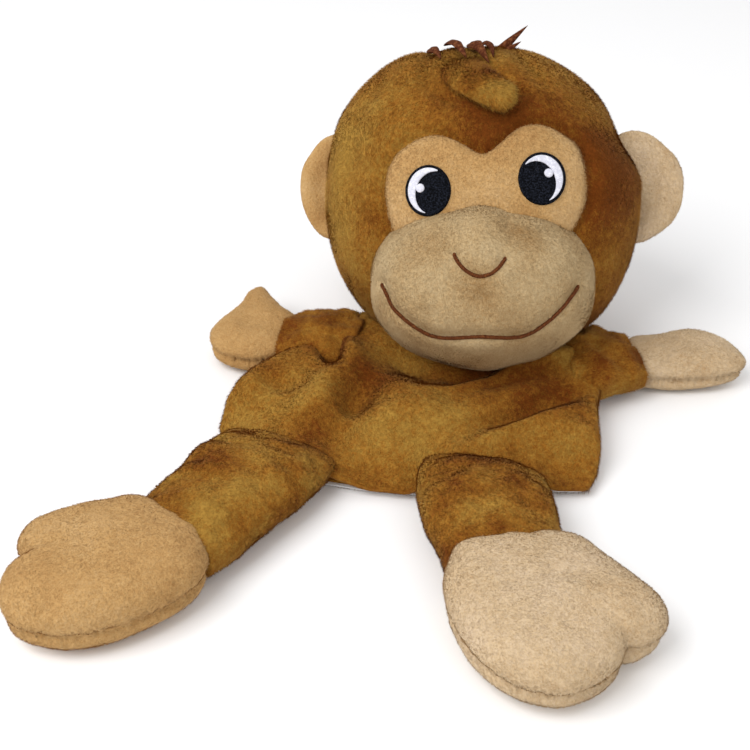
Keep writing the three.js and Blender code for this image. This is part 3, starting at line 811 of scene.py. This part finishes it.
def makeFringe(tree):
    steps = np.linspace(0, 1, 40)
    paths = []
    for values in strands:
        line = smoothLoop(values["line"], 40, False)
        lift = 0.6 + values["bow"] * np.sin(np.pi * (0.15 + 0.7 * steps))
        path = np.array([onSurface(tree, x, z, high) for (x, z), high in zip(line, lift)])
        out = np.array([tree.find_nearest(Vector(p))[1] for p in path])
        paths.append((path, out, values["wide"]))
    for values in standing:
        root, tip = fromHead(values["root"])[0], fromHead(values["tip"])[0]
        bow = headBack * (np.sin(np.pi * steps) * 1.2 * mm)[:, None]
        path = root + (tip - root) * steps[:, None] - bow
        paths.append((path, np.tile(-headBack, (40, 1)), values["wide"]))
    made = []
    for i, (path, out, wide) in enumerate(paths):
        ahead = np.gradient(path, axis=0)
        across = np.cross(out, ahead)
        across /= np.linalg.norm(across, axis=1)[:, None]

        def where(u, v):
            turn = u * 2 * np.pi
            taper = np.clip(0.75 + 0.6 * v, 0, 1) * np.clip((1 - v) / 0.75, 0.03, 1) ** 0.85
            taper *= np.clip(v / 0.03, 0.05, 1) ** 0.5
            half = np.cos(turn) * wide / 2 * taper
            rise = np.sin(turn) * 0.75 * np.clip(v / 0.05, 0.1, 1) * np.clip((1 - v) / 0.05, 0.1, 1)
            rise += 0.9 * (1 - np.abs(np.cos(turn))) * taper
            side, up = along(v, steps, across), along(v, steps, out)
            return along(v, steps, path) + (side * half[:, None] + up * rise[:, None]) * mm

        made.append(sheetOf("feltStrand%d" % i, 20, 36, where))
    pick(made[0])
    for piece in made[1:]:
        piece.select_set(True)
    bpy.ops.object.join()
    piece = made[0]
    piece.name = "feltFringe"
    dress(piece, "feltBrown", "felt")
    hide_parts("felt_fringe")
    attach(piece, "head")
    return piece


# The body is a flat open sleeve: where its sides and its top run at each y, in millimetres.
bodySides = {
    "y": [-47, -36, -24, -6, 8, 22, 36, 48, 58, 66, 70],
    "left": [-82, -87, -88, -83, -77, -68, -60, -52, -44, -30, -8],
    "right": [77, 79, 79, 76, 74, 74, 72, 67, 60, 46, 24],
    "top": [11, 17, 20, 22.5, 23, 23, 23.5, 24, 23, 18, 12],
}
hemLine = {
    "x": [-82, -61, -38, -16, 4, 18, 40, 58, 77],
    "y": [-47, -54, -58, -57.5, -55, -51, -44, -38.5, -35],
}
hemHigh = {
    "x": [-82, -72, -56, -38, -26, -12, 4, 12, 24, 42, 54, 64, 77],
    "z": [7, 13, 17, 16, 9, 5.4, 5.2, 9, 16.5, 17, 11, 7.5, 8],
}
# Folds on the front, from one end to the other: x, y, x, y, height (down if
# negative), width, and how much steeper its lower side is.
bodyFolds = [
    (-54, 24, -45, 4, -8.5, 4.5, 1.0), (-46, 26, -38, 2, 3.0, 6, 1.0), (-40, 6, -45, -44, 4.2, 9, 1.0),
    (-28, 4, -32, -30, -6.5, 8, 1.0), (-32, -26, -42, -52, -4.0, 8, 1.0), (-28, 26, 4, 4, -6.0, 9, 1.0),
    (4, 4, 34, 18, -6.5, 7, 1.0), (8, -4, 68, 42, 5.5, 8, 2.4), (24, -28, 68, 18, -8.0, 6.5, 1.0),
    (12, -50, 66, 6, 4.5, 9, 1.8), (16, -52, 58, -34, -3.4, 8, 1.0), (0, -2, -14, -50, 3.2, 11, 1.0),
    (-76, 2, -84, -34, 2.6, 9, 1.0), (-66, -6, -62, -22, -2.6, 9, 1.0), (66, -4, 74, -30, 2.0, 8, 1.0),
    (56, -26, 72, -34, -2.6, 6, 1.0), (-20, -30, 0, -52, 1.8, 8, 1.0),
]
bodyCloth = {
    "start": -47, "length": 117, "foldDepth": 1.5, "foldWidth": 1.15,  # shares of the listed folds
    "frontHem": 1.8, "backHem": 2.8, "wall": 2.2, "liningWall": 0.5,
    "lumps": (1.3, 16.0), "fineLumps": (0.5, 7.0),  # height and size
}
# Painted shade and light on the body, darker in its folds and hollows: x, y, z, reach, amount.
bodyShadeAndLight = [
    (-28, 0, 20, 14, -0.36), (-36, -30, 18, 12, -0.42), (-30, -14, 18, 10, -0.25), (-74, -6, 18, 12, -0.22),
    (8, 12, 20, 18, -0.42), (34, 26, 20, 14, -0.38), (46, -4, 18, 12, -0.40), (58, 12, 18, 12, -0.40),
    (34, -20, 18, 10, -0.25), (44, -40, 14, 14, -0.36), (24, -48, 12, 9, -0.28), (-42, -50, 12, 10, -0.25),
    (4, -30, 20, 16, 0.12), (64, -16, 18, 12, 0.12), (-48, 20, 20, 9, -0.4),
]


# The plush, or inset from it the lining, which stops short of the top.
def bodyShape(inset=0.0, past=0.0, top=1.0, over=1.0):
    start = bodyCloth["start"]

    def where(u, v):
        turn = u * 2 * np.pi
        v = v * top
        y = start + bodyCloth["length"] * v ** 0.92
        left = np.interp(y, bodySides["y"], bodySides["left"]) + inset
        right = np.interp(y, bodySides["y"], bodySides["right"]) - inset
        cosine, sine = np.cos(turn), np.sin(turn)
        x = (left + right) / 2 + (right - left) / 2 * np.sign(cosine) * np.abs(cosine) ** 0.82
        rest = np.clip(v / 0.24, 0, 1)
        rest = rest * rest * (3 - 2 * rest)
        mouth = np.interp(x, hemHigh["x"], hemHigh["z"])
        high = mouth + (np.interp(y, bodySides["y"], bodySides["top"]) - mouth) * rest
        high = high - inset * (0.35 + 0.65 * rest)
        low = 0.6 + inset * (0.2 + 0.8 * rest)
        z = (high + low) / 2 + (high - low) / 2 * np.sign(sine) * np.abs(sine) ** 0.42
        hem = np.interp(x, hemLine["x"], hemLine["y"]) - start
        y = y + hem * (1 - v) ** 2 - past
        front = np.clip(sine, 0, 1) ** 0.3
        back = np.clip(-sine, 0, 1) ** 0.3
        y = y + over * (bodyCloth["backHem"] * back - bodyCloth["frontHem"] * front) * (1 - rest)
        crease = front * (0.35 + 0.65 * rest)
        for x0, y0, x1, y1, amount, width, steep in bodyFolds:
            run = np.array([x1 - x0, y1 - y0], float)
            share = np.clip(((x - x0) * run[0] + (y - y0) * run[1]) / (run @ run), 0, 1)
            far = np.hypot(x - x0 - share * run[0], y - y0 - share * run[1])
            below = (x - x0) * run[1] - (y - y0) * run[0] > 0
            far = far * np.where(below, steep, 1.0)
            deep = bodyCloth["foldDepth"] * crease * amount
            valley = np.exp(-(far / (bodyCloth["foldWidth"] * width)) ** 2)
            z = z + deep * valley * np.sin(np.pi * (0.10 + 0.80 * share))
        spots = np.stack([x, y, z], 1)
        (tall, size), (fineTall, fineSize) = bodyCloth["lumps"], bodyCloth["fineLumps"]
        z = z + crease * tall * ripple(spots, size, 1) + front * fineTall * ripple(spots, fineSize, 2)
        spots[:, 2] = np.maximum(z, np.where(sine > 0, 3.4 - 0.5 * inset, 0.6 + 0.3 * inset))
        return spots * mm
    return where


def makeBody():
    piece = sheetOf("bodyPlush", 260, 150, bodyShape())
    walls["bodyPlush"] = bodyCloth["wall"]
    paintToneAndShade(piece, 0.60, 0.20, 0.030, bodyShadeAndLight, 5.0)
    dress(piece, "brown", "brown_plush")
    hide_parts("body_front", "body_back")
    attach(piece, "torso")
    lining = sheetOf("bodyLining", 200, 60, bodyShape(2.6, 0.2, 0.86, 0.4))
    apply(lining, "SOLIDIFY", thickness=bodyCloth["liningWall"] * mm, offset=-1)
    dress(lining, "liningCloth", "lining_cloth")
    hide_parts("lining_front", "lining_back")
    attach(lining, "torso")
    return piece


# Sleeves and legs. Each station is x, y, z of the middle, half width, half height.
# A blend is the two bodies, and where the cloth starts and ends its bend.
tubes = {
    "sleeveLeft": {
        "stations": [
            (-40, 33, 12, 16, 9.5), (-50, 33, 13, 20, 11.5), (-62, 33, 13, 20.5, 11),
            (-73, 32, 12.5, 18, 9.5), (-80, 31.5, 12, 15, 8.4),
        ],
        "node": ("arm_left",), "blend": ("torso", "arm_left", (-43, 33, 12), (-58, 33, 12)),
        "folds": 3.0, "seed": 41, "tone": 0.38, "flow": (-1, 0, 0),
    },
    "sleeveRight": {
        "stations": [
            (54, 33, 13, 16, 10), (62, 39, 15, 20, 13), (71, 46, 15.5, 20.5, 12.5),
            (80, 51, 13.5, 19, 10.5), (87, 54.5, 12, 16.5, 8.6),
        ],
        "node": ("arm_right",), "blend": ("torso", "arm_right", (59, 36, 12), (70, 44, 12)),
        "folds": 3.2, "seed": 47, "tone": 0.42, "flow": (1, 0.5, 0),
    },
    "legLeft": {
        "stations": [
            (-53, -47, 9.5, 25, 7), (-55, -58, 11.5, 27, 10), (-59, -74, 14, 26.5, 12.6),
            (-65, -94, 14.5, 24.5, 13), (-71, -112, 14.5, 23, 12.8), (-75, -123, 14.5, 21, 12),
        ],
        "node": ("leg_left", "leg_left_stuffing"),
        "blend": ("torso", "leg_left", (-55, -55, 12), (-57, -78, 12)),
        "folds": 1.6, "seed": 53, "tone": 0.56, "flow": (-0.3, -1, 0),
    },
    "legRight": {
        "stations": [
            (33, -42, 11, 24, 8), (34, -52, 13.5, 26.5, 11), (39, -68, 15.5, 27, 13.2),
            (47, -86, 15.5, 25, 13.2), (53, -99, 15, 23.5, 12.8), (56, -106, 15, 21.5, 12),
        ],
        "node": ("leg_right", "leg_right_stuffing"),
        "blend": ("torso", "leg_right", (33, -52, 12), (39, -76, 12)),
        "folds": 1.6, "seed": 59, "tone": 0.50, "flow": (0.4, -1, 0),
    },
}
limbFloor = 0.5  # how far above the ground the limbs stay, in millimetres


def tubeShape(stations, folds, seed):
    fine = smoothLoop(stations, 60, False)
    steps = np.linspace(0, 1, 60)
    ahead = np.gradient(fine[:, :2], axis=0)
    ahead /= np.linalg.norm(ahead, axis=1)[:, None]
    across = np.stack([-ahead[:, 1], ahead[:, 0]], 1)

    def where(u, v):
        at = lambda column: np.interp(v, steps, column)
        turn = u * 2 * np.pi
        ends = np.clip(np.minimum(v, 1 - v) / 0.05, 0.0, 1) ** 0.5
        cosine, sine = np.cos(turn), np.sin(turn)
        wide = np.sign(cosine) * np.abs(cosine) ** 0.9 * at(fine[:, 3]) * ends
        tall = np.sign(sine) * np.abs(sine) ** 0.86 * at(fine[:, 4]) * ends
        x = at(fine[:, 0]) + at(across[:, 0]) * wide
        y = at(fine[:, 1]) + at(across[:, 1]) * wide
        spots = np.stack([x, y, at(fine[:, 2]) + tall], 1)
        crumple = folds * ripple(spots * np.array([1, 1, 0.6]), 11.0, seed)
        crumple = crumple + folds * 0.4 * ripple(spots, 5.0, seed + 3)
        spots[:, 2] += crumple * np.clip(sine + 0.3, 0, 1) * ends
        spots[:, 0] += at(across[:, 0]) * crumple * 0.5 * cosine * ends
        spots[:, 1] += at(across[:, 1]) * crumple * 0.5 * cosine * ends
        spots[:, 2] = np.maximum(spots[:, 2], limbFloor)
        return spots * mm
    return where


def makeTube(name):
    values = tubes[name]
    piece = sheetOf(name, 110, 110, tubeShape(values["stations"], values["folds"], values["seed"]))
    paintToneAndShade(piece, values["tone"], 0.24, 0.018, seed=values["seed"])
    dress(piece, "brown", "brown_plush")
    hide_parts(*values["node"])
    return piece


# Hands and feet, two panels sewn round an outline.
pads = {
    "handLeft": {
        "line": [
            (-76, 44), (-86, 51), (-95, 59), (-102, 65.5), (-107, 60), (-108, 49), (-112.5, 37), (-115, 25),
            (-110, 15), (-98, 10.5), (-86, 11.5), (-76, 18), (-73, 31),
        ],
        "centre": (-91, 33), "middle": 11, "half": 8.6, "rise": (0, 0.10), "fill": 0.25,
        "colour": "tan", "tone": 0.45, "seed": 61, "pile": 420, "flow": (-1, 0.2, 0),
        "node": ("hand_left",), "blend": ("arm_left", "hand_left", (-76, 32, 11), (-86, 31, 11)),
    },
    "handRight": {
        "line": [
            (82, 70), (96, 76), (111, 84.5), (124, 81.5), (134, 73), (137.5, 65), (131, 57), (118, 50.5),
            (104, 46.5), (90, 45), (80, 48), (78, 58),
        ],
        "centre": (104, 63), "middle": 10.5, "half": 8.6, "rise": (0, 0.08), "fill": 0.25,
        "colour": "paleTan", "tone": 0.52, "seed": 67, "pile": 420, "flow": (1, 0.3, 0),
        "node": ("hand_right",), "blend": ("arm_right", "hand_right", (83, 53, 11), (95, 57, 11)),
    },
    "footLeft": {
        "line": [
            (-90, -106), (-101, -110), (-112, -116), (-122, -124), (-128.3, -132), (-128, -142),
            (-121.5, -149), (-125, -158), (-121, -169), (-111, -177), (-94, -177), (-78, -169), (-64, -155),
            (-55.5, -140), (-56, -127), (-66, -114),
        ],
        "centre": (-92, -142), "middle": 15.5, "half": 15.2, "rise": (0, 0.02), "fill": 0.6,
        "colour": "tan", "tone": 0.50, "seed": 71, "pile": 400, "flow": (-0.4, -1, 0),
        "node": ("foot_left", "foot_left_stuffing"),
        "blend": ("leg_left", "foot_left", (-70, -112, 15), (-80, -130, 15)),
    },
    "footRight": {
        "line": [
            (34, -99), (32, -110), (33, -121), (39, -134), (50, -148), (65, -157), (81, -158), (93, -150),
            (99.5, -140), (101.5, -131), (107, -128.5), (113.5, -120), (112, -110), (102, -101), (90, -92.5),
            (76, -84), (55, -87),
        ],
        "centre": (68, -120), "middle": 15.5, "half": 15.2, "rise": (0, 0.02), "fill": 0.6,
        "colour": "paleTan", "tone": 0.58, "seed": 73, "pile": 400, "flow": (0.4, -1, 0),
        "node": ("foot_right", "foot_right_stuffing"),
        "blend": ("leg_right", "foot_right", (50, -93, 15), (58, -110, 15)),
    },
}
padSeam = {"deep": 2.3, "wide": 2.6, "pucker": 0.9, "low": 0.8}


def padShape(values):
    rim = smoothLoop(values["line"], 360)
    centre = np.array(values["centre"], float)
    shares = np.arctan2(rim[:, 1] - centre[1], rim[:, 0] - centre[0])
    order = np.argsort(shares)
    shares, reach = shares[order], np.linalg.norm(rim - centre, axis=1)[order]
    shares = np.concatenate([shares - 2 * np.pi, shares, shares + 2 * np.pi])
    reach = np.concatenate([reach] * 3)

    def place(directions):
        x, y, z = directions.T
        turn = np.arctan2(y, x)
        out = np.interp(turn, shares, reach)
        level = np.arcsin(np.clip(z, -1, 1))
        far = np.cos(level) ** 0.62
        tall = np.sign(z) * np.abs(np.sin(level)) ** 0.75
        sideways, ahead = np.cos(turn) * out * far, np.sin(turn) * out * far
        spots = np.stack([centre[0] + sideways, centre[1] + ahead, tall * values["half"]], 1)
        lumps = ripple(spots, 16.0, values["seed"]) * 0.9 + ripple(spots, 6.0, values["seed"] + 2) * 0.35
        spots[:, 2] += lumps * np.clip(1.2 - far, 0, 1) * 2
        risen = (spots[:, 0] - centre[0]) * values["rise"][0]
        spots[:, 2] += values["middle"] + risen + (spots[:, 1] - centre[1]) * values["rise"][1]
        spots[:, 2] = np.maximum(spots[:, 2], limbFloor)
        return spots * mm
    return place


def makePad(name):
    values = pads[name]
    piece = ball(name, 200, 90)
    putPlaces(piece, padShape(values)(places(piece)))
    closeUp(piece)
    tree = treeOf(piece)
    rim = smoothLoop(values["line"], 360)
    high = values["middle"] * padSeam["low"] * mm
    seam = [np.array(tree.find_nearest(Vector((x * mm, y * mm, high)))[0]) for x, y in rim]
    carve(piece, seam, padSeam["deep"] * mm, padSeam["wide"] * mm, padSeam["pucker"], values["seed"])
    paintToneAndShade(piece, values["tone"], 0.10, 0.022, seed=values["seed"])
    dress(piece, values["colour"], "tan_plush")
    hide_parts(*values["node"])
    return piece


# Both are measured up the neck from its nod joint, in millimetres.
neckCloth = {"radius": 24, "topRadius": 15, "flat": 0.8, "start": -6, "length": 26, "wall": 1.2, "floor": 0.6}
fingerTube = {"radius": 11, "start": -2, "length": 55, "wall": 0.8}


# The cloth from the shoulders into the head, and the tube in it for a finger.
def makeNeck():
    base = jointAt("neck_nod")

    def collar(u, v):
        turn = u * 2 * np.pi
        radius = (neckCloth["radius"] - (neckCloth["radius"] - neckCloth["topRadius"]) * v) * mm
        middle = base + headUp * ((neckCloth["start"] + neckCloth["length"] * v) * mm)[:, None]
        return (middle + headRight * (radius * np.cos(turn))[:, None]
                + headBack * (radius * neckCloth["flat"] * np.sin(turn))[:, None])

    piece = sheetOf("neckCloth", 80, 24, collar)
    walls["neckCloth"] = neckCloth["wall"]
    spots = places(piece)
    spots[:, 2] = np.maximum(spots[:, 2], neckCloth["floor"] * mm)
    putPlaces(piece, spots)
    paintToneAndShade(piece, 0.35, 0.2, 0.02, seed=81)
    dress(piece, "brown", "brown_plush")

    def tube(u, v):
        turn = u * 2 * np.pi
        radius = fingerTube["radius"] * mm * np.clip((1 - v) / 0.08, 0.02, 1) ** 0.5
        middle = base + headUp * ((fingerTube["start"] + fingerTube["length"] * v) * mm)[:, None]
        return (middle + headRight * (radius * np.cos(turn))[:, None]
                + headBack * (radius * np.sin(turn))[:, None])

    inner = sheetOf("fingerTube", 48, 40, tube)
    apply(inner, "SOLIDIFY", thickness=fingerTube["wall"] * mm, offset=-1)
    dress(inner, "liningCloth", "lining_cloth")
    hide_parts("finger_tube")
    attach(inner, "neck")
    return piece


setTheStage()
print("stage set")
headPiece = makeHead()
headTree = treeOf(headPiece)
maskPiece = makeMask(headTree)
muzzlePiece = makeMuzzle()
maskTree, muzzleTree = treeOf(maskPiece), treeOf(muzzlePiece)
mouthCurve, noseCurve = smoothLoop(mouthLine, 300, False), smoothLoop(noseLine, 120, False)
satinBand("mouthStitching", mouthCurve, muzzleTree, stitch["mouth"], "mouth_stitching")
satinBand("noseStitching", noseCurve, muzzleTree, stitch["nose"], "nose_stitching")
for side in ("left", "right"):
    makeEye(side, maskTree)
forelockPiece = makeForelock(headTree)
makeFringe(headTree)
earPieces = {side: makeEar(side) for side in ("left", "right")}
print("head made")
bodyPiece = makeBody()
neckPiece = makeNeck()
tubePieces = {name: makeTube(name) for name in tubes}
padPieces = {name: makePad(name) for name in pads}
print("body and limbs made")

# Each plush piece with its fibres to the square centimetre, their length in
# millimetres, and the way that they lean.
down = -headUp
pileRows = [
    (headPiece, 330, 2.1, down), (maskPiece, 420, 1.2, down), (muzzlePiece, 420, 1.3, down),
    (forelockPiece, 380, 3.0, headRight * 0.7 - headUp),
    (earPieces["left"], 380, 1.2, down), (earPieces["right"], 380, 1.2, down),
    (bodyPiece, 300, 2.0, (0, -1, 0)), (neckPiece, 300, 1.8, (0, -1, 0)),
]
pileRows += [(tubePieces[name], 380, 1.8, values["flow"]) for name, values in tubes.items()]
pileRows += [(padPieces[name], values["pile"], 1.2, values["flow"]) for name, values in pads.items()]
piles = {}
for seed, (piece, density, length, flow) in enumerate(pileRows, 6):
    piles[piece.name] = growPile(piece, density, length, flow, seed)
    if "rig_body" in piece:
        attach(piles[piece.name], piece["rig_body"])
for name, wall in walls.items():
    apply(bpy.data.objects[name], "SOLIDIFY", thickness=wall * mm, offset=-1)
print("pile grown")


# Bakes the placement of a piece and of its pile into their meshes.
def bendBoth(piece):
    for part in (piece, piles[piece.name]):
        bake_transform(part)


for name, values in (tubes | pads).items():
    bendBoth((tubePieces | padPieces)[name])
for side, piece in earPieces.items():
    bendBoth(piece)
bendBoth(neckPiece)
